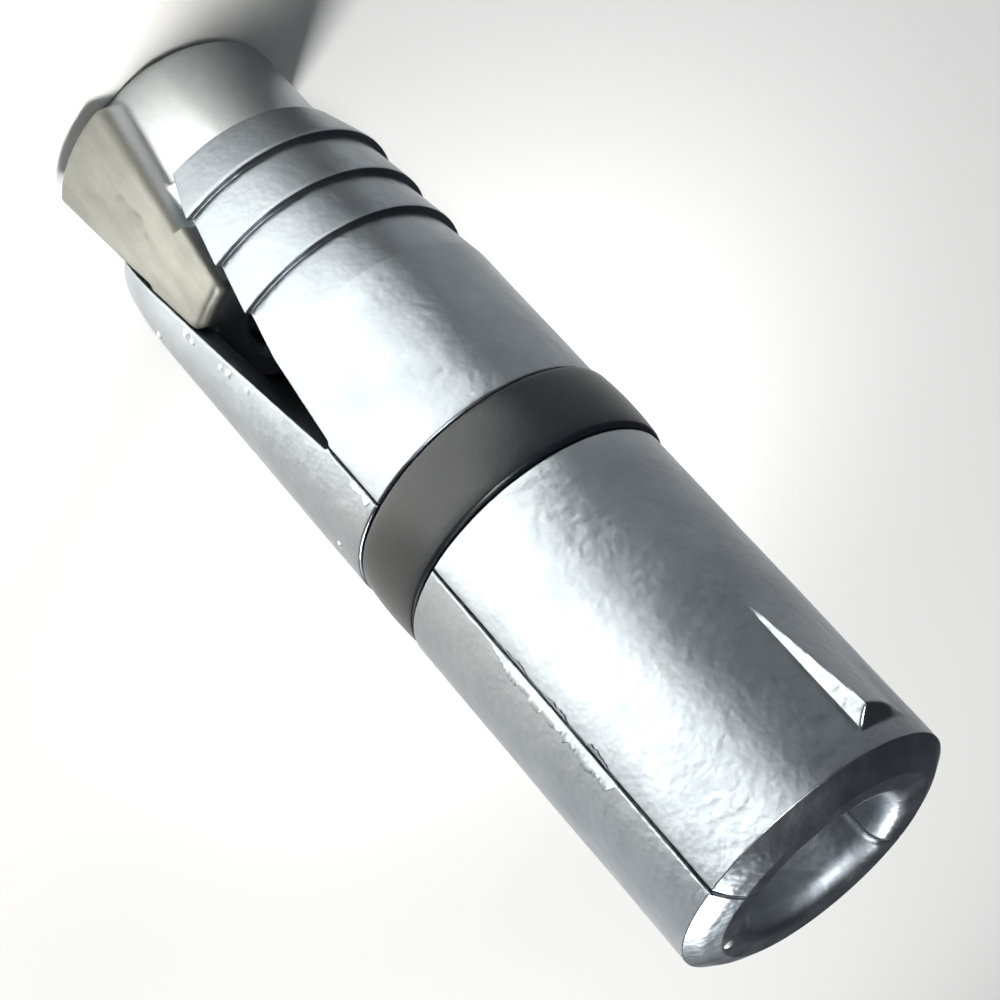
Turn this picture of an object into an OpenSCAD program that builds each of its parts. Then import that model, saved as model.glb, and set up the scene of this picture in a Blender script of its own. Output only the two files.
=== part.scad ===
// Split expansion anchor for a machine bolt.
// Two half shells, an elastic band round them and a tapered nut with two wings.
// The pieces are built along +Z from the mouth, with the seam in the plane x = 0,
// and are then turned over, so the anchor stands on its nut with the mouth up.

/* [Shield] */
// Outer diameter of the shield
shield_d = 19; // [18:0.5:24]
// Length of the shield from its mouth to its thin end
shield_len = 58.3; // [54:0.1:70]
// Diameter of the bolt bore
bore_d = 10; // [8:0.1:10.6]
// Radius of the bell that leads into the bore
bell_r = 1.4; // [1:0.1:2]
// Width of the chamfer round the mouth, across the end face
mouth_chamfer_w = 2; // [0.5:0.1:2]
// Height of the chamfer round the mouth, along the shield
mouth_chamfer_h = 1.1; // [0.5:0.1:2]
// Gap between the two halves along the seam
seam_gap = 0.15; // [0.05:0.05:0.3]

/* [Far end] */
// Wall thickness at the thin end
lip_wall = 0.3; // [0.25:0.05:0.6]
// How far the outside of the ridged half falls in at the thin end
lip_drop = 0.95; // [0.6:0.05:1.3]
// Length of the rounded nose on the plain half
nose_len = 4.5; // [3:0.5:9]
// How far the nose falls in at the thin end
nose_drop = 0.45; // [0.3:0.05:0.9]
// Length of the ramp up to the first ridge on the ridged half
lead_len = 3.65; // [2.5:0.05:5]
// Number of ridges on the ridged half
ridge_count = 3; // [1:1:4]
// Distance from one ridge to the next
ridge_pitch = 3.8; // [3:0.05:4.2]
// Depth of the step behind each ridge
ridge_step = 0.45; // [0.2:0.05:0.7]
// Width of the land on top of each ridge
ridge_land = 0.25; // [0.1:0.05:0.5]

/* [Wedge] */
// Angle of the ramps, slot flanks and wings to the axis
wedge_angle = 8.6; // [7:0.2:9.6]
// Length of the ramp pocket from the thin end
pocket_len = 18; // [16:0.5:20]
// Length of each slot from the thin end to its tip
slot_len = 21.4; // [18:0.1:24]
// Width of each slot at its round tip
slot_tip_w = 0.6; // [0.4:0.1:1.4]

/* [Fins] */
// Distance from the mouth to the tall end of each fin
fin_start = 3.2; // [2.5:0.1:8]
// Length of each fin
fin_len = 8.8; // [5:0.1:14]
// Height of each fin at its tall end
fin_h = 1.1; // [0.7:0.1:2]
// Width of each fin at its foot
fin_base_w = 3.9; // [3.5:0.1:4.5]
// Width of each fin at its crest
fin_top_w = 3; // [2:0.1:3.3]

/* [Band] */
// Distance from the mouth to the band groove
groove_start = 26.4; // [20:0.1:30]
// Width of the band
band_w = 5.2; // [3:0.1:7]
// Depth of the band groove
groove_depth = 1.3; // [0.9:0.1:1.8]
// How far the band's crown stands above the shield on average
band_proud = 0.19; // [0:0.01:0.4]
// How far the band sits off centre towards the ridged half
band_shift = 0.23; // [0:0.01:0.3]
// Rise of the band's crown over its edges
band_crown = 0.15; // [0.05:0.05:0.4]
// Clearance between the band and its groove
band_clearance = 0.1; // [0.05:0.05:0.2]

/* [Nut] */
// Whole length of the nut
nut_len = 16.7; // [14:0.1:18]
// How far the nut stands out of the thin end
nut_out = 8.2; // [5:0.1:9]
// Rounding of the nut's outer end
nut_round = 0.9; // [0.5:0.1:2]
// Outer diameter of the thread in the nut
thread_d = 9.6; // [8:0.1:10.4]
// Chamfer at both ends of the thread
thread_chamfer = 0.6; // [0.2:0.1:1]
// Clearance between the nut and the ramps
ramp_clearance = 0.1; // [0.05:0.05:0.2]
// How much slimmer the nut's head is than its ramps
head_relief = 0.05; // [0.05:0.05:0.3]
// Gap between the wings and the slot flanks
wing_gap = 0.4; // [0.35:0.05:0.9]
// How far the nut sits turned in the slots, in degrees
nut_turn = 1.9; // [0:0.1:1.9]
// How far the wings lie below the shield's surface
wing_inset = 0.1; // [0.05:0.05:0.5]
// Distance that the wings stop short of the nut's outer end
wing_setback = 0.9; // [0.2:0.1:2]
// Step on the flanks where the wings leave the shield
wing_step = 0.25; // [0.1:0.05:0.5]
// Distance from the thin end in to that step
wing_step_depth = 3.5; // [1:0.1:6]
// Angle between the middle of a wing and the flats beside it, in degrees
flat_angle = 30; // [24:1:36]
// Depth of those flats below the round of the head
flat_depth = 0.45; // [0.1:0.05:0.6]

/* [Hidden] */
$fn = 96;

zinc_grey = "#9a9ea3";
cast_grey = "#c3c6bf";
band_black = "#23272d";

// Overshoot of cutting shapes past the faces that they cut
over = 1;
// Depth to which a fin is rooted in the wall
fin_root = 0.7;

shield_r = shield_d / 2;
bore_r = bore_d / 2;
thread_r = thread_d / 2;
groove_r = shield_r - groove_depth;
groove_w = band_w + 2 * band_clearance;
lip_r = shield_r - lip_drop;
nose_r = (nose_len * nose_len + nose_drop * nose_drop) / (2 * nose_drop);

// The ramps are parts of cylinders that lean by the wedge angle, so the nut slides on them face to face
pocket_r = (lip_r - lip_wall) * cos(wedge_angle);
nut_ramp_r = pocket_r - ramp_clearance;
nut_head_r = nut_ramp_r - head_relief;
nut_near = shield_len + nut_out - nut_len;
nut_end = shield_len + nut_out;
wing_r = shield_r - wing_inset;
wing_end = nut_end - wing_setback;
wing_step_at = shield_len - wing_step_depth;
slot_tip_r = slot_tip_w / 2;
slot_tip_at = shield_len - slot_len + slot_tip_r;

// Half width of a slot at a height z
function slot_half(z) = slot_tip_r + (z - slot_tip_at) * tan(wedge_angle);
// Height of the step behind ridge number i, counted from the thin end
function ridge_at(i) = shield_len - lead_len - i * ridge_pitch;

// Turn a piece over, mouth up, with the ridged half towards -X
module stood() {
  rotate([0, 180, 0])
    children();
}

// Draw an (x, z) outline as a plate that is centred on y = 0
module plate(width) {
  rotate([90, 0, 0])
    linear_extrude(width, center = true)
      children();
}

// What the chamfer round the mouth takes away, in section
module mouth_chamfer_cut() {
  polygon([
    [shield_r - mouth_chamfer_w, 0],
    [shield_r - mouth_chamfer_w, -over],
    [shield_r + over, -over],
    [shield_r + over, mouth_chamfer_h],
    [shield_r, mouth_chamfer_h]
  ]);
}

// What the bell takes away, in section
module bell_cut() {
  difference() {
    translate([bore_r - over, -over])
      square([bell_r + over, bell_r + over]);
    translate([bore_r + bell_r, bell_r])
      circle(bell_r);
  }
}

// What the rounded nose takes away, in section
module nose_cut() {
  difference() {
    translate([shield_r - nose_drop - over, shield_len - nose_len])
      square([nose_drop + 2 * over, nose_len + over]);
    translate([shield_r - nose_r, shield_len - nose_len])
      circle(nose_r, $fn = 4 * $fn);
  }
}

// What the lead-in ramp and the steps between the ridges take away, in section
module ridge_cuts() {
  first_land = ridge_at(0) + ridge_land;
  polygon([
    [lip_r, shield_len],
    [lip_r, shield_len + over],
    [shield_r + over, shield_len + over],
    [shield_r + over, first_land],
    [shield_r, first_land]
  ]);
  for (i = [0 : ridge_count - 1]) {
    next_land = ridge_at(i + 1) + ridge_land;
    polygon([
      [shield_r - ridge_step, ridge_at(i)],
      [shield_r + over, ridge_at(i)],
      [shield_r + over, next_land],
      [shield_r, next_land]
    ]);
  }
}

// Section of the wall from bore to outside
module wall_section(ridged) {
  difference() {
    translate([bore_r, 0])
      square([shield_r - bore_r, shield_len]);
    mouth_chamfer_cut();
    bell_cut();
    translate([groove_r, groove_start])
      square([groove_depth + over, groove_w]);
    if (ridged)
      ridge_cuts();
    else
      nose_cut();
  }
}

// Everything on the +X side of the seam
module one_side() {
  translate([seam_gap / 2, -shield_d, -over])
    cube([shield_d, 2 * shield_d, shield_len + 2 * over]);
}

// A fin that rises towards the mouth and narrows towards its crest
module fin() {
  root_half = fin_base_w / 2 + (fin_base_w - fin_top_w) / 2 * fin_root / fin_h;
  intersection() {
    plate(2 * root_half + over)
      polygon([
        [shield_r - fin_root, fin_start],
        [shield_r + fin_h, fin_start],
        [shield_r, fin_start + fin_len],
        [shield_r - fin_root, fin_start + fin_len]
      ]);
    linear_extrude(fin_start + fin_len + over)
      polygon([
        [shield_r - fin_root, -root_half],
        [shield_r + fin_h, -fin_top_w / 2],
        [shield_r + fin_h, fin_top_w / 2],
        [shield_r - fin_root, root_half]
      ]);
  }
}

// The leaning half-round ramp that the nut rides up
module ramp_pocket() {
  translate([0, 0, shield_len])
    rotate([0, wedge_angle, 0])
      translate([0, 0, -pocket_len])
        cylinder(r = pocket_r, h = pocket_len + shield_r);
}

// The V-slot on the seam, through both walls
module slots() {
  past_end = shield_len + over;
  plate(shield_d + 2 * over) {
    polygon([
      [-slot_half(slot_tip_at), slot_tip_at],
      [slot_half(slot_tip_at), slot_tip_at],
      [slot_half(past_end), past_end],
      [-slot_half(past_end), past_end]
    ]);
    translate([0, slot_tip_at])
      circle(slot_tip_r);
  }
}

// One half shell on the +X side of the seam
module shield_half(ridged) {
  difference() {
    union() {
      intersection() {
        rotate_extrude()
          wall_section(ridged);
        one_side();
      }
      fin();
    }
    ramp_pocket();
    slots();
  }
}

module plain_shield_half() {
  color(zinc_grey)
    stood()
      mirror([1, 0, 0])
        shield_half(false);
}

module ridged_shield_half() {
  color(zinc_grey)
    stood()
      shield_half(true);
}

module retaining_band() {
  inner_r = groove_r + band_shift + band_clearance;
  crown_at = shield_r + band_proud;
  crown_r = (band_w * band_w / 4 + band_crown * band_crown) / (2 * band_crown);
  color(band_black)
    stood()
      translate([band_shift, 0, groove_start + band_clearance])
        rotate_extrude()
          intersection() {
            translate([inner_r, 0])
              square([crown_at - inner_r, band_w]);
            translate([crown_at - crown_r, band_w / 2])
              circle(crown_r, $fn = 4 * $fn);
          }
}

// The nut's round head outside the shield, in section
module nut_head_section() {
  difference() {
    translate([0, shield_len])
      square([nut_head_r, nut_out]);
    difference() {
      translate([nut_head_r - nut_round, nut_end - nut_round])
        square([nut_round + over, nut_round + over]);
      translate([nut_head_r - nut_round, nut_end - nut_round])
        circle(nut_round);
    }
  }
}

// The flats on the head beside the wings, as the sides of one prism
module head_flats() {
  flat_at = nut_head_r - flat_depth;
  translate([0, 0, shield_len - over])
    linear_extrude(nut_out + 2 * over)
      polygon([
        [flat_at / sin(flat_angle), 0],
        [0, flat_at / cos(flat_angle)],
        [-flat_at / sin(flat_angle), 0],
        [0, -flat_at / cos(flat_angle)]
      ]);
}

// The nut's ramp face on the +X side, from its inner end to the thin end of the shield
module nut_ramp() {
  intersection() {
    translate([0, 0, shield_len])
      rotate([0, wedge_angle, 0])
        translate([0, 0, -2 * nut_len])
          cylinder(r = nut_ramp_r, h = 3 * nut_len);
    translate([0, -shield_d, nut_near])
      cube([shield_d, 2 * shield_d, shield_len - nut_near]);
  }
}

// Both wings as one wedge across the nut, inside the shield's round
module wings() {
  near_half = slot_half(nut_near) - wing_gap;
  step_half = slot_half(wing_step_at) - wing_gap;
  far_half = slot_half(wing_end) - wing_gap - wing_step;
  intersection() {
    plate(shield_d + 2 * over)
      polygon([
        [-near_half, nut_near],
        [near_half, nut_near],
        [step_half, wing_step_at],
        [step_half - wing_step, wing_step_at],
        [far_half, wing_end],
        [-far_half, wing_end],
        [wing_step - step_half, wing_step_at],
        [-step_half, wing_step_at]
      ]);
    cylinder(r = wing_r, h = nut_end);
  }
}

// The threaded hole at its outer diameter, chamfered at both ends
module thread_hole() {
  mouth_r = thread_r + thread_chamfer;
  translate([0, 0, nut_near - over])
    cylinder(r = thread_r, h = nut_len + 2 * over);
  translate([0, 0, nut_near])
    cylinder(r1 = mouth_r, r2 = thread_r, h = thread_chamfer);
  translate([0, 0, nut_end - thread_chamfer])
    cylinder(r1 = thread_r, r2 = mouth_r, h = thread_chamfer);
}

module expander_nut() {
  color(cast_grey)
    stood()
      rotate([0, 0, -nut_turn])
        difference() {
          union() {
            intersection() {
              rotate_extrude()
                nut_head_section();
              head_flats();
            }
            nut_ramp();
            mirror([1, 0, 0])
              nut_ramp();
            wings();
          }
          thread_hole();
        }
}

plain_shield_half();
ridged_shield_half();
retaining_band();
expander_nut();
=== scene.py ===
import math

import bmesh
import bpy
import numpy as np
from mathutils import Matrix, Vector, noise


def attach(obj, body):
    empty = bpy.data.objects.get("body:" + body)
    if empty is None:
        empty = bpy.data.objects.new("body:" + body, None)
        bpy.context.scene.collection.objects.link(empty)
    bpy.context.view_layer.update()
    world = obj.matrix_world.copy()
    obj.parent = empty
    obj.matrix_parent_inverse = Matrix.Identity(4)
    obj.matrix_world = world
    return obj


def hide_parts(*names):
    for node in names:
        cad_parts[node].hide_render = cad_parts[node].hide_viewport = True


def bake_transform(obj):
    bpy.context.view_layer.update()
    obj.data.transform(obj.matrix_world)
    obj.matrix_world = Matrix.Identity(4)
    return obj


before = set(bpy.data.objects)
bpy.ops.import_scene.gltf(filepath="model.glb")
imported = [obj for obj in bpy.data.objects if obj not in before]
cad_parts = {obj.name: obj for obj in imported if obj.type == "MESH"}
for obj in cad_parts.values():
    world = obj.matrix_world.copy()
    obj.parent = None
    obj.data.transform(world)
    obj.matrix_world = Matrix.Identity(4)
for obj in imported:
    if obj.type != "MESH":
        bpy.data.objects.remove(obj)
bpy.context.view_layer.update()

# The split expansion anchor stands on its nut with its mouth up. All sizes below are in millimetres.
# u is the distance down from the mouth. The seam faces -Y, the ridged half -X and the plain half +X.
MM = 0.001

# Shield
SHIELD_R = 9.5
SHIELD_LEN = 58.3
BORE_R = 5.0
BELL_R = 1.4
MOUTH_RING_W = 0.35
CHAMFER_W = 2.0
CHAMFER_H = 1.1
SEAM_GAP = 0.15
# the halves nearly meet at the bore, so that no light shows through the seam
BORE_SEAM_GAP = 0.03
SEAM_EDGE_R = 0.14
BORE_EDGE_R = 0.4
LIP_R = 8.55
NOSE_START = 53.8
NOSE_END_R = 9.05
RIDGES = (47.05, 50.85, 54.65)
RIDGE_FOOT = 43.5
RIDGE_STEP = 0.45
RIDGE_LAND = 0.25

# Ramp pocket and V-slots, all on the angle of the wedge
WEDGE = math.radians(8.6)
POCKET_R = 8.157
POCKET_LEN = 18.0
POCKET_END_R = 5.3
POCKET_END_RUN = 0.3
SLOT_TIP_AT = 37.2
SLOT_TIP_R = 0.3

# Fins
FIN_START = 3.2
FIN_LEN = 9.6
FIN_RAMP = 0.8
FIN_H = 1.1
FIN_FOOT = 1.95
FIN_CREST = 1.5
FIN_EDGE_SOFT = 0.15
FIN_FOOT_SOFT = 0.16
FIN_REACH = FIN_FOOT + 0.3

# Waves and ripples of the cast skin, as height and length
WAVE = (0.030, 4.5)
RIPPLE = (0.010, 1.1)
RIPPLE_SHIFT = Vector((7, 3, 5))

# Points round a half: distances in from its seam edge, the length round to its middle, and the fin's share
SEAM_STEPS = (0, 0.02, 0.05, 0.09, 0.14, 0.2)
HALF_ARC = 14.2
FIN_SHARE = 0.15

# Rubber band and its groove
GROOVE_START = 26.4
GROOVE_END = 31.8
GROOVE_R = 8.2
BAND_AT = 29.1
BAND_W = 5.2
BAND_INNER_R = 8.53
BAND_OUTER_R = 9.69
BAND_CROWN = 0.15
BAND_EDGE_R = 0.3
BAND_SHIFT = 0.23

# Nut
NUT_NEAR = 49.8
NUT_END = 66.5
NUT_TURN = math.radians(1.9)
NUT_RAMP_R = 8.057
NUT_HEAD_R = 8.007
NUT_ROUND = 0.9
HEAD_OVERLAP = 0.3
FLAT_ANGLE = math.radians(30)
FLAT_DEPTH = 0.45
WING_R = 9.4
WING_END = 65.6
WING_STEP_AT = 54.8
WING_STEP = 0.25
WING_DRAFT = 0.45
WING_GAP = 0.4
# pits in the front wing's face, as x, u, size and depth
WING_PITS = ((0.55, 59.8, 0.3, 0.2), (0.3, 58.5, 0.5, 0.26), (0.6, 57.9, 0.3, 0.2), (0.1, 56.6, 0.3, 0.16),
             (-1.2, 62.4, 0.4, 0.12))
THREAD_R = 4.8
THREAD_PITCH = 1.5875
THREAD_TURNS = 9.0
THREAD_RIDGE = 0.62
THREAD_FROM_END = 1.1
HOLE_CHAMFER = 0.6
HOLE_MOUTH = 0.7

# How softly the nut's faces run together
FLAT_SOFT = 0.3
RAMP_SOFT = 0.25
WING_EDGE_SOFT = 0.3
WING_END_SOFT = 0.7
WING_ROOT_SOFT = 0.22
HOLE_SOFT = 0.12

# Flash along the seam
FLASH_STEP = 0.08
FLASH_TAPER = 0.5
FLASH_ROOT = 0.3
FLASH_LEAST = 0.02
FLASH_FROM_SEAM = 0.02

# Beads of metal on the plain half, as u and the distance round from the front seam, and one on the mouth ring
BEADS = ((50.6, 2.95), (49.9, 3.0), (53.7, 6.4), (46.9, 2.5), (46.1, 2.3), (44.2, 2.0), (33.8, 5.8))
MOUTH_BEAD = (4.85, -5.15, -0.3)
BEAD_R = 0.5
BEAD_SUNK = 0.3

# Patterns in the finishes: the size of each one's patches
CLOUD = 5.0
STREAK = 1.6
GLOSS_PATCH = 2.2
PEBBLE_SPACING = 0.7
FINISH_EDGE = 0.4
WING_ROUGHER = 0.25
CORE_ROUGHER = 0.22
BLOOM = 3.0
MOULD_GRAIN = 0.3
MOULD_GRAIN_H = 0.012

# Floor and camera
FLOOR_Z = -NUT_END
FLOOR_HALF_M = 3
CAMERA_AT = Vector((-88.194, -122.401, 40.233))
PICTURE_RIGHT = Vector((-0.44047609, 0.66514859, 0.60295785))
PICTURE_DOWN = Vector((0.72518517, -0.13230934, 0.67572236))
LENS = 98.485
SENSOR_W = 36


# Small helpers

def linear(hex_colour):
    """A linear RGBA colour from an sRGB hex value."""
    parts = [int(hex_colour[i:i + 2], 16) / 255 for i in (1, 3, 5)]
    return [p / 12.92 if p <= 0.04045 else ((p + 0.055) / 1.055) ** 2.4 for p in parts] + [1.0]


def add(tree, kind, settings=None, inputs=None):
    """Add a node. An input's value is a number, a colour, or the socket that it is linked to."""
    made = tree.nodes.new(kind)
    for name, value in (settings or {}).items():
        setattr(made, name, value)
    for name, value in (inputs or {}).items():
        socket = made.inputs[name]
        if isinstance(value, bpy.types.NodeSocket):
            tree.links.new(value, socket)
        else:
            socket.default_value = value
    return made


def smoothstep(low, high, x):
    t = np.clip((x - low) / (high - low), 0, 1)
    return t * t * (3 - 2 * t)


def soft_max(a, b, width):
    """The larger of two heights, run together softly where they are within width of each other."""
    h = np.clip(0.5 + 0.5 * (a - b) / width, 0, 1)
    return b + (a - b) * h + width * h * (1 - h)


def soft_min(a, b, width):
    return -soft_max(-a, -b, width)


def edge_drop(from_edge, radius):
    """How far a rounded edge of this radius falls back, at each distance from the edge."""
    inset = np.clip(radius - from_edge, 0, radius)
    return radius - np.sqrt(radius ** 2 - inset ** 2)


def slot_half(u):
    """Half the width of the V-slot, or of the plain seam, at u."""
    if u <= SLOT_TIP_AT - SLOT_TIP_R:
        return SEAM_GAP / 2
    if u < SLOT_TIP_AT:
        return max(SEAM_GAP / 2, math.sqrt(SLOT_TIP_R ** 2 - (SLOT_TIP_AT - u) ** 2))
    return SLOT_TIP_R + (u - SLOT_TIP_AT) * math.tan(WEDGE)


def rounded(corners, longest):
    """Points along a line of (u, r, rounding) corners, with each corner rounded and long runs cut up."""
    line = [np.array(corners[0][:2], float)]
    for before, here, after in zip(corners, corners[1:], corners[2:]):
        a, c, b = (np.array(p[:2], float) for p in (before, here, after))
        back, ahead = a - c, b - c
        run_back, run_ahead = np.linalg.norm(back), np.linalg.norm(ahead)
        back, ahead = back / run_back, ahead / run_ahead
        half_angle = math.acos(np.clip(back @ ahead, -1, 1)) / 2
        if here[2] == 0 or half_angle > math.radians(89):
            line.append(c)
            continue
        cut = min(here[2] / math.tan(half_angle), 0.45 * run_back, 0.45 * run_ahead)
        for t in np.linspace(0, 1, 6):
            line.append(c + back * cut * (1 - t) ** 2 + ahead * cut * t ** 2)
    line.append(np.array(corners[-1][:2], float))
    points = [line[0]]
    for start, end in zip(line, line[1:]):
        pieces = max(1, math.ceil(np.linalg.norm(end - start) / longest))
        for i in range(1, pieces + 1):
            points.append(start + (end - start) * i / pieces)
    return points


def new_mesh(name, points_mm, faces, sharp_deg=None):
    """A closed mesh object in metres, smooth-shaded, with edges above an angle kept sharp."""
    mesh = bpy.data.meshes.new(name)
    mesh.from_pydata([tuple(p) for p in np.asarray(points_mm) * MM], [], faces)
    shape = bmesh.new()
    shape.from_mesh(mesh)
    bmesh.ops.remove_doubles(shape, verts=shape.verts, dist=1e-7)
    bmesh.ops.recalc_face_normals(shape, faces=shape.faces)
    for face in shape.faces:
        face.smooth = True
    if sharp_deg:
        for edge in shape.edges:
            edge.smooth = edge.calc_face_angle(0) < math.radians(sharp_deg)
    shape.to_mesh(mesh)
    shape.free()
    made = bpy.data.objects.new(name, mesh)
    bpy.context.scene.collection.objects.link(made)
    return made


# Shield halves: a skin from the mouth ring down the outside, and back up the bore

def outside_line(ridged):
    """The outside of a half from the edge of the mouth ring to the thin end, as (u, r) points."""
    mouth = rounded([
        (0, SHIELD_R - CHAMFER_W - MOUTH_RING_W, 0),
        (0, SHIELD_R - CHAMFER_W, 0.5),
        (CHAMFER_H * 0.4, SHIELD_R - CHAMFER_W * 0.47, 2.5),
        (CHAMFER_H, SHIELD_R, 0.1),
        (CHAMFER_H + 0.4, SHIELD_R, 0)], 0.12)
    corners = [
        *[(u, SHIELD_R, 0) for u in np.arange(CHAMFER_H + 0.55, FIN_START + 0.5, 0.15)],
        (GROOVE_START, SHIELD_R, 0.22),
        (GROOVE_START + 0.03, GROOVE_R, 0.15),
        (GROOVE_END - 0.03, GROOVE_R, 0.15),
        (GROOVE_END, SHIELD_R, 0.22),
        (SLOT_TIP_AT - SLOT_TIP_R - 0.2, SHIELD_R, 0),
        (SLOT_TIP_AT - SLOT_TIP_R, SHIELD_R, 0),
        (SLOT_TIP_AT - SLOT_TIP_R / 2, SHIELD_R, 0),
        (SLOT_TIP_AT, SHIELD_R, 0),
    ]
    if ridged:
        foot = RIDGE_FOOT
        for ridge in RIDGES:
            corners.append((foot, SHIELD_R, 0.1))
            corners.append((ridge - 0.02, SHIELD_R - RIDGE_STEP, 0.05))
            corners.append((ridge + 0.02, SHIELD_R, 0.07))
            foot = ridge + RIDGE_LAND
        corners.append((foot, SHIELD_R, 0.1))
    else:
        drop = SHIELD_R - NOSE_END_R
        run = SHIELD_LEN - NOSE_START
        nose_r = (run * run + drop * drop) / (2 * drop)
        for u in np.linspace(NOSE_START, SHIELD_LEN, 11)[:-1]:
            corners.append((u, SHIELD_R - nose_r + math.sqrt(nose_r ** 2 - (u - NOSE_START) ** 2), 0))
    end_r, end_round, end_lip = (LIP_R, 0.08, 0.1) if ridged else (NOSE_END_R, 0.3, 0.35)
    corners.append((SHIELD_LEN - 0.01, end_r, end_round))
    corners.append((SHIELD_LEN, end_r - end_lip, 0))
    return [tuple(p) for p in mouth + rounded(corners, 0.5)]


def inside_r(u, across, along):
    """Radius of the bore, its bell or the ramp pocket at u, for directions off the middle of a half."""
    bore = np.full_like(across, BORE_R)
    if u < BELL_R:
        bore += BELL_R - math.sqrt(BELL_R ** 2 - (BELL_R - u) ** 2)
    shift = (u - SHIELD_LEN) * math.tan(WEDGE)
    k = math.cos(WEDGE) ** 2
    a = across ** 2 * k + along ** 2
    b = -2 * across * shift * k
    c = shift ** 2 * k - POCKET_R ** 2
    pocket = (-b + np.sqrt(np.maximum(b * b - 4 * a * c, 0))) / (2 * a)
    pocket_end = SHIELD_LEN - (POCKET_LEN + POCKET_END_R * across * math.sin(WEDGE)) / math.cos(WEDGE)
    open_up = smoothstep(pocket_end, pocket_end + POCKET_END_RUN, np.full_like(across, u))
    return bore + np.maximum(pocket - bore, 0) * open_up


def fin_height(u, over):
    """Height of the fin at u, at each distance over from its middle line.

    It has one steep flank. Its top leans away from that and ends in a short hollow ramp at the mouth end."""
    if not FIN_START - FIN_RAMP < u < FIN_START + FIN_LEN:
        return np.zeros_like(over)
    ramp = max(0.0, FIN_START - u) / FIN_RAMP
    crest = FIN_H * (1 - ramp) ** 1.5 - FIN_H * max(0.0, u - FIN_START) / FIN_LEN
    top = crest * np.minimum((FIN_FOOT - over) / (FIN_FOOT + FIN_CREST), 1)
    flank = (FIN_FOOT + over) / (FIN_FOOT - FIN_CREST) * FIN_H
    height = soft_max(soft_min(flank, top, FIN_EDGE_SOFT), 0, FIN_FOOT_SOFT)
    return np.where(np.abs(over) < FIN_REACH, height * smoothstep(0, FIN_EDGE_SOFT, crest), 0)


def shares_round():
    """Places round a half, from -1 at the front seam to 1 at the back, closest at the seams and the fin."""
    seam = 1 - np.array(SEAM_STEPS) / HALF_ARC
    plain = np.linspace(FIN_SHARE + 0.01, seam[-1] - 0.01, 56)
    fin = np.linspace(-FIN_SHARE, FIN_SHARE, 57)
    return np.concatenate([-seam, -plain[::-1], fin, plain, seam[::-1]])


def uneven(points):
    """The points moved a hair in or out from the axis, as the skin of a casting is."""
    wave_h, wave_len = WAVE
    ripple_h, ripple_len = RIPPLE
    height = np.array([
        wave_h * noise.noise(Vector(p) / wave_len)
        + ripple_h * noise.noise(Vector(p) / ripple_len + RIPPLE_SHIFT)
        for p in points])
    radial = points * (1, 1, 0)
    radial /= np.linalg.norm(radial, axis=1)[:, None]
    return points + radial * height[:, None]


def shell_faces(rows, columns):
    """Faces of a closed shell: an outer grid of points, an inner one, and the walls that join them."""
    outer = np.arange(rows * columns).reshape(rows, columns)
    inner = outer + rows * columns
    faces = []
    for skin in (outer, inner):
        corners = (skin[:-1, :-1], skin[1:, :-1], skin[1:, 1:], skin[:-1, 1:])
        faces.append(np.stack(corners, -1).reshape(-1, 4))
    for row in (0, -1):
        faces.append(np.stack([outer[row, :-1], outer[row, 1:], inner[row, 1:], inner[row, :-1]], -1))
    for col in (0, -1):
        faces.append(np.stack([outer[:-1, col], outer[1:, col], inner[1:, col], inner[:-1, col]], -1))
    return np.concatenate(faces).tolist()


def shield_half(name, ridged):
    """One half shell with its fin, as a closed mesh that is a little uneven, as a casting is."""
    side = -1 if ridged else 1
    share = shares_round()
    to_edge = 1 - np.abs(share)
    outer, inner = [], []
    for u, r in outside_line(ridged):
        lim = slot_half(u)
        seam_turn = math.acos(lim / r)
        turn = share * seam_turn
        skin = r - edge_drop(to_edge * r * seam_turn, SEAM_EDGE_R)
        skin = skin + fin_height(u, -side * r * np.sin(turn)) / np.cos(turn)
        level = np.full_like(turn, -u)
        outer.append(np.stack([side * skin * np.cos(turn), skin * np.sin(turn), level], -1))
        if u < SLOT_TIP_AT - SLOT_TIP_R:
            lim = BORE_SEAM_GAP / 2
        hole = inside_r(u, np.cos(turn), np.sin(turn))
        seam_turn = np.arccos(np.clip(lim / hole, -1, 1)).min()
        turn = share * seam_turn
        hole = inside_r(u, np.cos(turn), np.sin(turn))
        if u < GROOVE_START:
            hole = hole + edge_drop(to_edge * hole * seam_turn, BORE_EDGE_R)
        inner.append(np.stack([side * hole * np.cos(turn), hole * np.sin(turn), level], -1))
    rows, columns = len(outer), len(share)
    points = np.concatenate([uneven(np.concatenate(outer)), np.concatenate(inner)])
    return new_mesh(name, points, shell_faces(rows, columns), sharp_deg=38)


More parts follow.
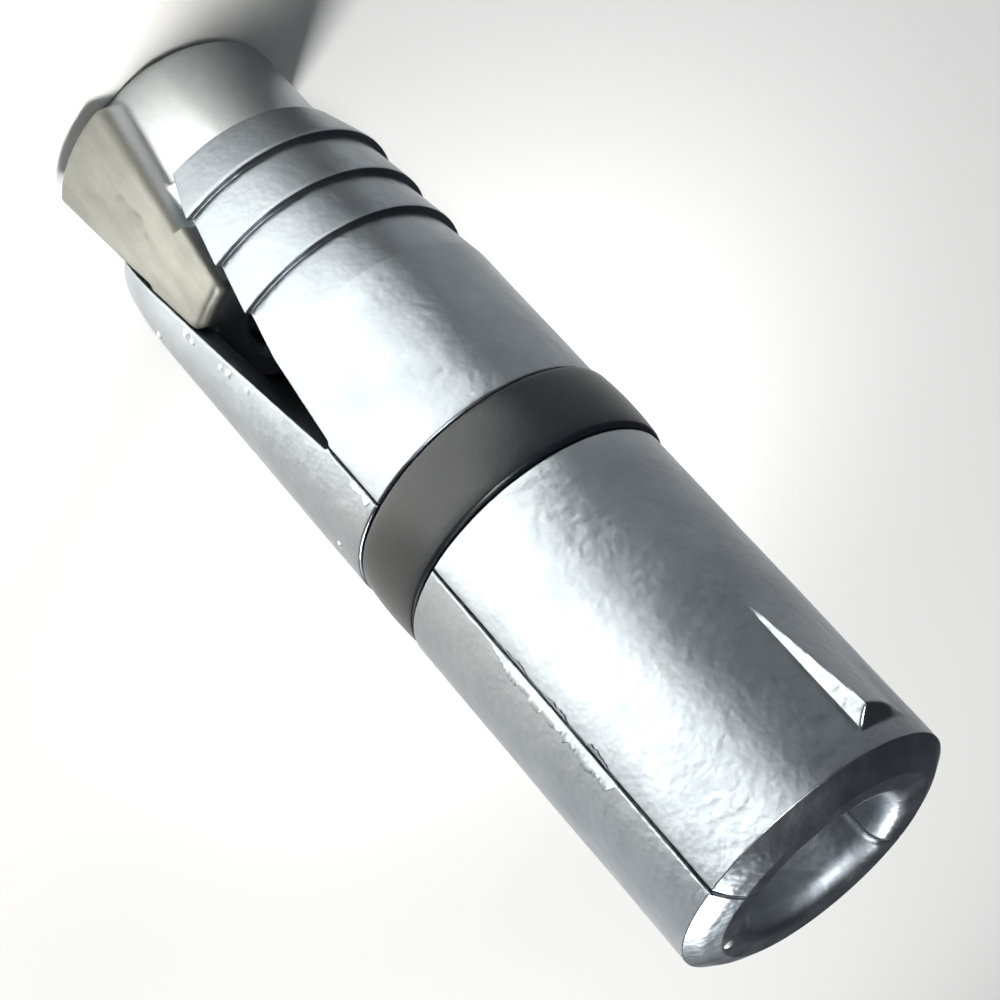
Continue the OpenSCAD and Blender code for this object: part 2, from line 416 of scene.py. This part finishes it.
def seam_flash(name, side, runs, first, last, least):
    """A ragged sliver of flash along the front seam's edge of one half, widest in the given runs.

    A run is (middle, length, width). The sliver rises away from the seam and ends in a small step."""
    rings = []
    for u in np.arange(first, last, FLASH_STEP):
        ends = smoothstep(first, first + FLASH_TAPER, u) * (1 - smoothstep(last - FLASH_TAPER, last, u))
        coarse = noise.noise((u / 1.1, 3.0 * side, 1.0))
        fine = noise.noise((u / 0.3, 5.0 * side, 2.0))
        ragged = 1 + 0.55 * coarse + 0.45 * fine
        width = least * max(0.3, ragged)
        for middle, length, most in runs:
            swell = 1 - smoothstep(0.55, 1.0, abs(u - middle) / (length / 2))
            width = max(width, most * swell * max(0.25, ragged))
        width = max(width * ends, FLASH_LEAST)
        rise = min(0.05 + 0.12 * width, 0.16) * ends
        outline = ((0, -FLASH_ROOT), (0, -0.07), (0.12, 0.01), (0.5, rise * 0.55), (0.86, rise),
                   (0.97, rise * 0.6), (1.0, -FLASH_ROOT))
        ring = []
        for across, up in outline:
            turn = (SEAM_GAP / 2 + FLASH_FROM_SEAM + across * width) / SHIELD_R
            ring.append((side * (SHIELD_R + up) * math.sin(turn), -(SHIELD_R + up) * math.cos(turn), -u))
        rings.append(ring)
    count = len(rings[0])
    faces = [list(range(count)), list(range((len(rings) - 1) * count, len(rings) * count))]
    for row in range(len(rings) - 1):
        for i in range(count):
            j = (i + 1) % count
            faces.append([row * count + i, row * count + j, (row + 1) * count + j, (row + 1) * count + i])
    return new_mesh(name, np.concatenate(rings), faces, sharp_deg=50)


# Nut: a round head, two ramp faces and two wings, run together with the soft edges of a casting

def nut_solid(x, y, u):
    """Distance-like field of the nut in millimetres, negative inside."""
    r = np.hypot(x, y)
    rim = np.maximum(r - (NUT_HEAD_R - NUT_ROUND), 0)
    past = np.maximum(u - (NUT_END - NUT_ROUND), 0)
    corner = np.hypot(rim, past) - NUT_ROUND
    head = np.where((rim > 0) & (past > 0), corner, np.maximum(r - NUT_HEAD_R, u - NUT_END))
    beside = np.abs(x) * math.sin(FLAT_ANGLE) + np.abs(y) * math.cos(FLAT_ANGLE)
    head = soft_max(head, beside - (NUT_HEAD_R - FLAT_DEPTH), FLAT_SOFT)
    head = np.maximum(head, SHIELD_LEN - HEAD_OVERLAP - u)
    shift = (u - SHIELD_LEN) * math.tan(WEDGE)
    ramp = np.hypot(y, (np.abs(x) - shift) * math.cos(WEDGE)) - NUT_RAMP_R
    ramp = soft_max(ramp, np.maximum(NUT_NEAR - u, u - SHIELD_LEN), RAMP_SOFT)
    half = SLOT_TIP_R + (u - SLOT_TIP_AT) * math.tan(WEDGE) - WING_GAP
    half = half - WING_STEP * smoothstep(WING_STEP_AT - 0.08, WING_STEP_AT + 0.08, u)
    face = r - WING_R
    for pit_x, pit_u, size, depth in WING_PITS:
        face = face + depth * np.exp(-((x - pit_x) ** 2 + (u - pit_u) ** 2 * 0.4) / size ** 2) * (y < 0)
    # past the step, the flank towards the ridged half leans in as it rises from the head
    up_wing = np.clip((r - NUT_HEAD_R) / (WING_R - NUT_HEAD_R), 0, 1)
    past_step = smoothstep(WING_STEP_AT - 0.1, WING_STEP_AT + 0.2, u)
    half = half - WING_DRAFT * up_wing * past_step * (x > 0)
    wing = soft_max((np.abs(x) - half) * math.cos(WEDGE), face, WING_EDGE_SOFT)
    wing = soft_max(wing, np.maximum(NUT_NEAR - u, u - WING_END), WING_END_SOFT)
    body = soft_min(np.minimum(head, ramp), wing, WING_ROOT_SOFT)
    in_mouth = np.maximum(NUT_NEAR + HOLE_CHAMFER - u, u - (NUT_END - HOLE_CHAMFER))
    hole = THREAD_R + np.clip(in_mouth, 0, HOLE_MOUTH) - r
    return soft_max(body, hole, HOLE_SOFT)


def surface_net(field, origin, step):
    """Points and faces of the zero surface of a field on a grid, one point in each cell that it crosses."""
    inside = field < 0
    cells = [n - 1 for n in field.shape]
    total = np.zeros(cells + [3])
    count = np.zeros(cells)
    ends = [(a, b) for a in np.ndindex(2, 2, 2) for b in np.ndindex(2, 2, 2)
            if sum(b) - sum(a) == 1 and all(q >= p for p, q in zip(a, b))]
    for a, b in ends:
        cut_a = tuple(slice(o, o + n) for o, n in zip(a, cells))
        cut_b = tuple(slice(o, o + n) for o, n in zip(b, cells))
        fa, fb = field[cut_a], field[cut_b]
        crossed = inside[cut_a] != inside[cut_b]
        t = np.where(crossed, fa / np.where(crossed, fa - fb, 1), 0)
        for axis in range(3):
            total[..., axis] += crossed * (a[axis] + t * (b[axis] - a[axis]))
        count += crossed
    used = count > 0
    number = np.full(cells, -1)
    number[used] = np.arange(used.sum())
    points = origin + step * (np.argwhere(used) + total[used] / count[used][:, None])
    faces = []
    for axis in range(3):
        one, two = [i for i in range(3) if i != axis]
        low = [slice(1, n) for n in cells]
        low[axis] = slice(0, cells[axis])
        high = list(low)
        high[axis] = slice(1, cells[axis] + 1)
        at = np.argwhere(inside[tuple(low)] != inside[tuple(high)])
        for i in (one, two):
            at[:, i] += 1
        ring = []
        for p, q in ((-1, -1), (0, -1), (0, 0), (-1, 0)):
            cell = at.copy()
            cell[:, one] += p
            cell[:, two] += q
            ring.append(number[tuple(cell.T)])
        faces.append(np.stack(ring, -1))
    return points, np.concatenate(faces)


def nut_casting(name):
    """The nut as a closed mesh on its field's surface, turned a little in its slots."""
    step = 0.2
    margin = 0.5
    low = np.array([-WING_R - margin, -WING_R - margin, NUT_NEAR - margin])
    high = np.array([WING_R + margin, WING_R + margin, NUT_END + margin])
    shape = np.ceil((high - low) / step).astype(int) + 1
    x, y, u = np.meshgrid(*[low[i] + step * np.arange(shape[i]) for i in range(3)], indexing="ij")
    points, faces = surface_net(nut_solid(x, y, u), low, step)
    # draw the points onto the true surface, so that no trace of the grid shows in the metal
    near = 0.02
    least_slope = 0.3
    longest_pull = 0.06
    for _ in range(3):
        slope = np.stack([nut_solid(*(points + near * axis).T) - nut_solid(*(points - near * axis).T)
                          for axis in np.eye(3)], -1) / (2 * near)
        pull = nut_solid(*points.T) / np.maximum((slope ** 2).sum(1), least_slope)
        points = points - slope * np.clip(pull, -longest_pull, longest_pull)[:, None]
    c, s = math.cos(NUT_TURN), math.sin(NUT_TURN)
    points = points * (-1, 1, -1) @ np.array([[c, s, 0], [-s, c, 0], [0, 0, 1]])
    return new_mesh(name, points, faces.tolist())


# Geometry Nodes: the rubber band, the cast beads and the thread

def node_tool(name, sizes):
    """An empty node tree with named size inputs and one material input."""
    tree = bpy.data.node_groups.new(name, "GeometryNodeTree")
    tree.interface.new_socket("Geometry", in_out="INPUT", socket_type="NodeSocketGeometry")
    for label, (kind, value) in sizes.items():
        socket = tree.interface.new_socket(label, in_out="INPUT", socket_type=kind)
        socket.default_value = value
    tree.interface.new_socket("Finish", in_out="INPUT", socket_type="NodeSocketMaterial")
    tree.interface.new_socket("Geometry", in_out="OUTPUT", socket_type="NodeSocketGeometry")
    return tree, add(tree, "NodeGroupInput"), add(tree, "NodeGroupOutput")


def end_tool(tree, given, out, geometry):
    """Close a tree: real geometry, smooth shading and the finish."""
    real = add(tree, "GeometryNodeRealizeInstances", inputs={"Geometry": geometry})
    soft = add(tree, "GeometryNodeSetShadeSmooth", inputs={"Geometry": real.outputs[0]})
    done = add(tree, "GeometryNodeSetMaterial",
               inputs={"Geometry": soft.outputs[0], "Material": given.outputs["Finish"]})
    tree.links.new(done.outputs[0], out.inputs[0])


def run_tool(name, tree, values, finish, place=None, spots=()):
    """Run a node tree with these input values and keep its result as a plain mesh object."""
    carrier = bpy.data.objects.new(name + "_carrier", bpy.data.meshes.new(name + "_carrier"))
    carrier.data.from_pydata([tuple(c * MM for c in spot) for spot in spots], [], [])
    bpy.context.scene.collection.objects.link(carrier)
    modifier = carrier.modifiers.new(name, "NODES")
    modifier.node_group = tree
    for item in tree.interface.items_tree:
        if item.in_out == "INPUT" and item.name in values:
            modifier[item.identifier] = values[item.name]
        if item.in_out == "INPUT" and item.name == "Finish":
            modifier[item.identifier] = finish
    graph = bpy.context.evaluated_depsgraph_get()
    mesh = bpy.data.meshes.new_from_object(carrier.evaluated_get(graph), preserve_all_data_layers=True,
                                           depsgraph=graph)
    bpy.data.objects.remove(carrier)
    mesh.name = name
    if place:
        mesh.transform(place)
    if not mesh.materials:
        mesh.materials.append(finish)
    made = bpy.data.objects.new(name, mesh)
    bpy.context.scene.collection.objects.link(made)
    return made


def band_tool():
    """A moulded ring with a rounded section and a crowned outside."""
    tree, given, out = node_tool("moulded band", {
        "Middle radius": ("NodeSocketFloat", 0.009), "Width": ("NodeSocketFloat", 0.005),
        "Thickness": ("NodeSocketFloat", 0.001), "Edge rounding": ("NodeSocketFloat", 0.0003),
        "Crown": ("NodeSocketFloat", 0.00015)})
    ring = add(tree, "GeometryNodeCurvePrimitiveCircle",
               inputs={"Resolution": 220, "Radius": given.outputs["Middle radius"]})
    upright = add(tree, "GeometryNodeSetCurveNormal", {"mode": "Z_UP"}, {"Curve": ring.outputs[0]})
    section = add(tree, "GeometryNodeCurvePrimitiveQuadrilateral",
                  inputs={"Width": given.outputs["Thickness"], "Height": given.outputs["Width"]})
    soft = add(tree, "GeometryNodeFilletCurve", {"mode": "POLY"},
               {"Curve": section.outputs[0], "Radius": given.outputs["Edge rounding"], "Count": 4})
    fine = add(tree, "GeometryNodeSubdivideCurve", inputs={"Curve": soft.outputs[0], "Cuts": 5})
    swept = add(tree, "GeometryNodeCurveToMesh",
                inputs={"Curve": upright.outputs[0], "Profile Curve": fine.outputs[0]})
    where = add(tree, "GeometryNodeInputPosition")
    split = add(tree, "ShaderNodeSeparateXYZ", inputs={0: where.outputs[0]})
    across = add(tree, "ShaderNodeMath", {"operation": "DIVIDE"},
                 {0: split.outputs[2], 1: given.outputs["Width"]})
    bow = add(tree, "ShaderNodeMath", {"operation": "MULTIPLY"}, {0: across.outputs[0], 1: across.outputs[0]})
    rise = add(tree, "ShaderNodeMath", {"operation": "MULTIPLY_ADD"}, {0: bow.outputs[0], 1: -4.0, 2: 1.0})
    flat = add(tree, "ShaderNodeCombineXYZ", inputs={0: split.outputs[0], 1: split.outputs[1]})
    reach = add(tree, "ShaderNodeVectorMath", {"operation": "LENGTH"}, {0: flat.outputs[0]})
    outside = add(tree, "ShaderNodeMath", {"operation": "GREATER_THAN"},
                  {0: reach.outputs["Value"], 1: given.outputs["Middle radius"]})
    lift = add(tree, "ShaderNodeMath", {"operation": "MULTIPLY"}, {0: rise.outputs[0], 1: outside.outputs[0]})
    height = add(tree, "ShaderNodeMath", {"operation": "MULTIPLY"},
                 {0: lift.outputs[0], 1: given.outputs["Crown"]})
    outward = add(tree, "ShaderNodeVectorMath", {"operation": "NORMALIZE"}, {0: flat.outputs[0]})
    push = add(tree, "ShaderNodeVectorMath", {"operation": "SCALE"},
               {0: outward.outputs[0], "Scale": height.outputs[0]})
    crowned = add(tree, "GeometryNodeSetPosition",
                  inputs={"Geometry": swept.outputs[0], "Offset": push.outputs[0]})
    end_tool(tree, given, out, crowned.outputs[0])
    return tree


def bead_tool():
    """A small ball of metal on each point, of random size."""
    tree, given, out = node_tool("cast beads", {
        "Largest radius": ("NodeSocketFloat", 0.0003), "Smallest share": ("NodeSocketFloat", 0.5),
        "Seed": ("NodeSocketInt", 4)})
    spots = add(tree, "GeometryNodeMeshToPoints", inputs={"Mesh": given.outputs["Geometry"]})
    ball = add(tree, "GeometryNodeMeshIcoSphere",
               inputs={"Radius": given.outputs["Largest radius"], "Subdivisions": 3})
    size = add(tree, "FunctionNodeRandomValue", {"data_type": "FLOAT"},
               {2: given.outputs["Smallest share"], 3: 1.0, "Seed": given.outputs["Seed"]})
    placed = add(tree, "GeometryNodeInstanceOnPoints", inputs={
        "Points": spots.outputs[0], "Instance": ball.outputs[0], "Scale": size.outputs[1]})
    end_tool(tree, given, out, placed.outputs[0])
    return tree


def thread_tool():
    """A helical ridge with a pointed section."""
    tree, given, out = node_tool("cut thread", {
        "Radius": ("NodeSocketFloat", 0.0048), "Turns": ("NodeSocketFloat", 9.0),
        "Length": ("NodeSocketFloat", 0.0143), "Ridge": ("NodeSocketFloat", 0.0006)})
    helix = add(tree, "GeometryNodeCurveSpiral",
                inputs={"Resolution": 72, "Rotations": given.outputs["Turns"],
                        "Start Radius": given.outputs["Radius"], "End Radius": given.outputs["Radius"],
                        "Height": given.outputs["Length"]})
    upright = add(tree, "GeometryNodeSetCurveNormal", {"mode": "Z_UP"}, {"Curve": helix.outputs[0]})
    vee = add(tree, "GeometryNodeCurvePrimitiveCircle",
              inputs={"Resolution": 4, "Radius": given.outputs["Ridge"]})
    swept = add(tree, "GeometryNodeCurveToMesh",
                inputs={"Curve": upright.outputs[0], "Profile Curve": vee.outputs[0], "Fill Caps": True})
    end_tool(tree, given, out, swept.outputs[0])
    return tree


# Materials

def cast_zinc(name, low, high, rough_low, rough_high, pebble_h, dull_from=99.0, bore_to=0.0):
    """Die-cast zinc alloy with its as-cast skin: grey, cloudy in tone, and pebbled like orange peel.

    Further from the axis than dull_from the skin is warmer, streaked and duller, as on the wings of the nut.
    Nearer to it than bore_to it is rough, as a core leaves it."""
    made = bpy.data.materials.new(name)
    made.use_nodes = True
    tree = made.node_tree
    surface = tree.nodes["Principled BSDF"]
    surface.inputs["Metallic"].default_value = 1.0
    place = add(tree, "ShaderNodeTexCoord")
    flat = add(tree, "ShaderNodeVectorMath", {"operation": "MULTIPLY"},
               {0: place.outputs["Object"], 1: (1.0, 1.0, 0.0)})
    reach = add(tree, "ShaderNodeVectorMath", {"operation": "LENGTH"}, {0: flat.outputs[0]})
    dull = add(tree, "ShaderNodeMapRange", inputs={
        "Value": reach.outputs["Value"], "From Min": dull_from * MM,
        "From Max": (dull_from + FINISH_EDGE) * MM})
    cloud = add(tree, "ShaderNodeTexNoise", inputs={
        "Vector": place.outputs["Object"], "Scale": 1 / (CLOUD * MM), "Detail": 5.0, "Roughness": 0.6})
    tone = add(tree, "ShaderNodeMix", {"data_type": "RGBA"},
               {"Factor": cloud.outputs["Fac"], 6: linear(low), 7: linear(high)})
    drawn = add(tree, "ShaderNodeMapping",
                inputs={"Vector": place.outputs["Object"], "Scale": (1.0, 1.0, 0.3)})
    streak = add(tree, "ShaderNodeTexNoise", inputs={
        "Vector": drawn.outputs[0], "Scale": 1 / (STREAK * MM), "Detail": 5.0, "Roughness": 0.65})
    warm = add(tree, "ShaderNodeMix", {"data_type": "RGBA"},
               {"Factor": streak.outputs["Fac"], 6: linear("#656661"), 7: linear("#9b9b95")})
    colour = add(tree, "ShaderNodeMix", {"data_type": "RGBA"},
                 {"Factor": dull.outputs[0], 6: tone.outputs[2], 7: warm.outputs[2]})
    tree.links.new(colour.outputs[2], surface.inputs["Base Color"])
    patch = add(tree, "ShaderNodeTexNoise", inputs={
        "Vector": place.outputs["Object"], "Scale": 1 / (GLOSS_PATCH * MM), "Detail": 1.0, "Roughness": 0.5})
    gloss = add(tree, "ShaderNodeMapRange", {"interpolation_type": "SMOOTHSTEP"}, {
        "Value": patch.outputs["Fac"], "From Min": 0.2, "From Max": 0.8,
        "To Min": rough_low, "To Max": rough_high})
    winged = add(tree, "ShaderNodeMath", {"operation": "MULTIPLY_ADD", "use_clamp": True},
                 {0: dull.outputs[0], 1: WING_ROUGHER, 2: gloss.outputs[0]})
    core = add(tree, "ShaderNodeMapRange", inputs={
        "Value": reach.outputs["Value"], "From Min": bore_to * MM, "From Max": (bore_to + FINISH_EDGE) * MM,
        "To Min": CORE_ROUGHER, "To Max": 0.0})
    rough = add(tree, "ShaderNodeMath", {"operation": "ADD", "use_clamp": True},
                {0: winged.outputs[0], 1: core.outputs[0]})
    tree.links.new(rough.outputs[0], surface.inputs["Roughness"])
    pebbles = add(tree, "ShaderNodeTexNoise", inputs={
        "Vector": place.outputs["Object"], "Scale": 1 / (PEBBLE_SPACING * MM), "Detail": 1.4,
        "Roughness": 0.55})
    raised = add(tree, "ShaderNodeBump", inputs={
        "Height": pebbles.outputs["Fac"], "Strength": 1.0, "Distance": pebble_h * MM})
    tree.links.new(raised.outputs[0], surface.inputs["Normal"])
    return made


def band_rubber(name):
    """Moulded black rubber: charcoal, satin, with a faint bloom and fine mould grain."""
    made = bpy.data.materials.new(name)
    made.use_nodes = True
    tree = made.node_tree
    surface = tree.nodes["Principled BSDF"]
    surface.inputs["Roughness"].default_value = 0.32
    surface.inputs["Specular IOR Level"].default_value = 0.4
    place = add(tree, "ShaderNodeTexCoord")
    bloom = add(tree, "ShaderNodeTexNoise", inputs={
        "Vector": place.outputs["Object"], "Scale": 1 / (BLOOM * MM), "Detail": 4.0})
    tone = add(tree, "ShaderNodeMix", {"data_type": "RGBA"},
               {"Factor": bloom.outputs["Fac"], 6: linear("#0b0f13"), 7: linear("#161b20")})
    tree.links.new(tone.outputs[2], surface.inputs["Base Color"])
    grain = add(tree, "ShaderNodeTexNoise", inputs={
        "Vector": place.outputs["Object"], "Scale": 1 / (MOULD_GRAIN * MM), "Detail": 3.0})
    raised = add(tree, "ShaderNodeBump", inputs={
        "Height": grain.outputs["Fac"], "Strength": 1.0, "Distance": MOULD_GRAIN_H * MM})
    tree.links.new(raised.outputs[0], surface.inputs["Normal"])
    return made


shield_zinc = cast_zinc("die-cast zinc, bright skin", "#757c83", "#a1a7ac", 0.285, 0.36, 0.045, bore_to=5.3)
nut_zinc = cast_zinc("die-cast zinc, nut", "#989da0", "#c3c6c6", 0.285, 0.34, 0.026, dull_from=8.5)
# The beads get a paler copy of the zinc than the rest of the casting: a painted highlight standing in for the
# light that small beads catch.
bead_zinc_painted_pale = cast_zinc("die-cast zinc, beads, painted pale for highlight", "#b2b7b9", "#c9cdcd", 0.45, 0.6, 0.01)
rubber = band_rubber("moulded black rubber")

# Pieces

ridged_half = shield_half("ridged_half_casting", True)
ridged_half.data.materials.append(shield_zinc)
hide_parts("ridged_shield_half")
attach(ridged_half, "ridged_half")

plain_half = shield_half("plain_half_casting", False)
plain_half.data.materials.append(shield_zinc)
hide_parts("plain_shield_half")
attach(plain_half, "plain_half")

for flash_name, runs, first, last in (
        ("plain_half_flash", ((15.0, 12.2, 0.8), (10.4, 2.8, 0.9)), 0.9, 26.2),
        ("plain_half_slot_flash", ((33.7, 1.6, 0.45), (32.7, 0.9, 0.4)), 32.0, 36.6)):
    plain_flash = seam_flash(flash_name, 1, runs, first, last, 0.13)
    plain_flash.data.materials.append(shield_zinc)
    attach(plain_flash, "plain_half")

ridged_flash = seam_flash("ridged_half_flash", -1, (
    (18.6, 2.6, 0.2), (14.8, 2.4, 0.26), (11.1, 2.4, 0.34)), 9.4, 20.4, 0.03)
ridged_flash.data.materials.append(shield_zinc)
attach(ridged_flash, "ridged_half")

bead_reach = SHIELD_R - BEAD_SUNK
bead_spots = [(bead_reach * math.sin(arc / SHIELD_R), -bead_reach * math.cos(arc / SHIELD_R), -u)
              for u, arc in BEADS]
beads = run_tool("plain_half_beads", bead_tool(), {
    "Largest radius": BEAD_R * MM, "Smallest share": 0.8, "Seed": 4}, bead_zinc_painted_pale,
    spots=bead_spots + [MOUTH_BEAD])
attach(beads, "plain_half")

nut = nut_casting("nut_casting")
nut.data.materials.append(nut_zinc)
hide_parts("expander_nut")
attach(nut, "nut")

thread = run_tool("nut_thread", thread_tool(), {
    "Radius": THREAD_R * MM, "Turns": THREAD_TURNS, "Length": THREAD_TURNS * THREAD_PITCH * MM,
    "Ridge": THREAD_RIDGE * MM}, nut_zinc,
    Matrix.Translation((0, 0, -(NUT_END - THREAD_FROM_END) * MM)))
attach(thread, "nut")

band_edge_r = BAND_OUTER_R - BAND_CROWN
band = run_tool("rubber_band", band_tool(), {
    "Middle radius": (BAND_INNER_R + band_edge_r) / 2 * MM, "Width": BAND_W * MM,
    "Thickness": (band_edge_r - BAND_INNER_R) * MM, "Edge rounding": BAND_EDGE_R * MM,
    "Crown": BAND_CROWN * MM}, rubber,
    Matrix.Translation((-BAND_SHIFT * MM, 0, -BAND_AT * MM)))
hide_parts("retaining_band")
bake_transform(band)

# Floor, light and camera

floor_mesh = bpy.data.meshes.new("floor")
floor_mesh.from_pydata([(x * FLOOR_HALF_M, y * FLOOR_HALF_M, FLOOR_Z * MM)
                        for x, y in ((-1, -1), (1, -1), (1, 1), (-1, 1))], [], [(0, 1, 2, 3)])
floor = bpy.data.objects.new("floor", floor_mesh)
bpy.context.scene.collection.objects.link(floor)
paper = bpy.data.materials.new("matt white paper")
paper.use_nodes = True
paper_surface = paper.node_tree.nodes["Principled BSDF"]
paper_surface.inputs["Base Color"].default_value = linear("#f2f2f0")
paper_surface.inputs["Roughness"].default_value = 0.9
paper_surface.inputs["Specular IOR Level"].default_value = 0.2
floor_mesh.materials.append(paper)


def softbox(name, watts, width, height, azimuth, elevation, distance, aim=(0, 0, -33)):
    """A rectangular soft light. Azimuth is from the seam side towards the ridged half."""
    lamp = bpy.data.lights.new(name, "AREA")
    lamp.shape = "RECTANGLE"
    lamp.size = width * MM
    lamp.size_y = height * MM
    lamp.energy = watts
    box = bpy.data.objects.new(name, lamp)
    a, e = math.radians(azimuth), math.radians(elevation)
    away = Vector((-math.sin(a) * math.cos(e), -math.cos(a) * math.cos(e), math.sin(e)))
    spot = Vector(aim) * MM + away * distance * MM
    box.matrix_world = Matrix.Translation(spot) @ away.to_track_quat("Z", "Y").to_matrix().to_4x4()
    bpy.context.scene.collection.objects.link(box)
    box.visible_camera = False
    return box


def floor_light(name, watts, width, length, at, spread, tint):
    """A gridded soft light that faces straight down, for a bright patch of floor that the metal mirrors."""
    box = softbox(name, watts, width, length, 0, 90, 0, at)
    box.data.spread = math.radians(spread)
    box.data.color = linear(tint)[:3]


softbox("back softbox", 4.3, 190, 190, -92, 44, 620)
floor_light("near front light", 0.205, 121, 134, (-21, -80, -10), 48, "#fffdf9")
floor_light("far front light", 0.76, 320, 140, (-50, -205, 40), 76, "#fffdf9")
mouth_light = softbox("mouth light", 0.011, 40, 40, 36, 40, 300, (0, 0, -3))
mouth_light.data.spread = math.radians(14)
floor_light("side front light", 0.035, 60, 100, (85, -70, 40), 70, "#fff0d8")

world = bpy.data.worlds.new("studio")
bpy.context.scene.world = world
world.use_nodes = True
sky = world.node_tree.nodes["Background"]
sky.inputs["Color"].default_value = linear("#c9d3dc")
sky.inputs["Strength"].default_value = 0.09

lens = bpy.data.cameras.new("camera")
lens.sensor_fit = "HORIZONTAL"
lens.sensor_width = SENSOR_W
lens.lens = LENS
lens.clip_start = 0.005
camera = bpy.data.objects.new("camera", lens)
looking = PICTURE_RIGHT.cross(PICTURE_DOWN)
facing = Matrix((PICTURE_RIGHT, -PICTURE_DOWN, -looking)).transposed()
camera.matrix_world = Matrix.Translation(CAMERA_AT * MM) @ facing.to_4x4()
bpy.context.scene.collection.objects.link(camera)
bpy.context.scene.camera = camera
bpy.context.scene.view_settings.view_transform = "Standard"
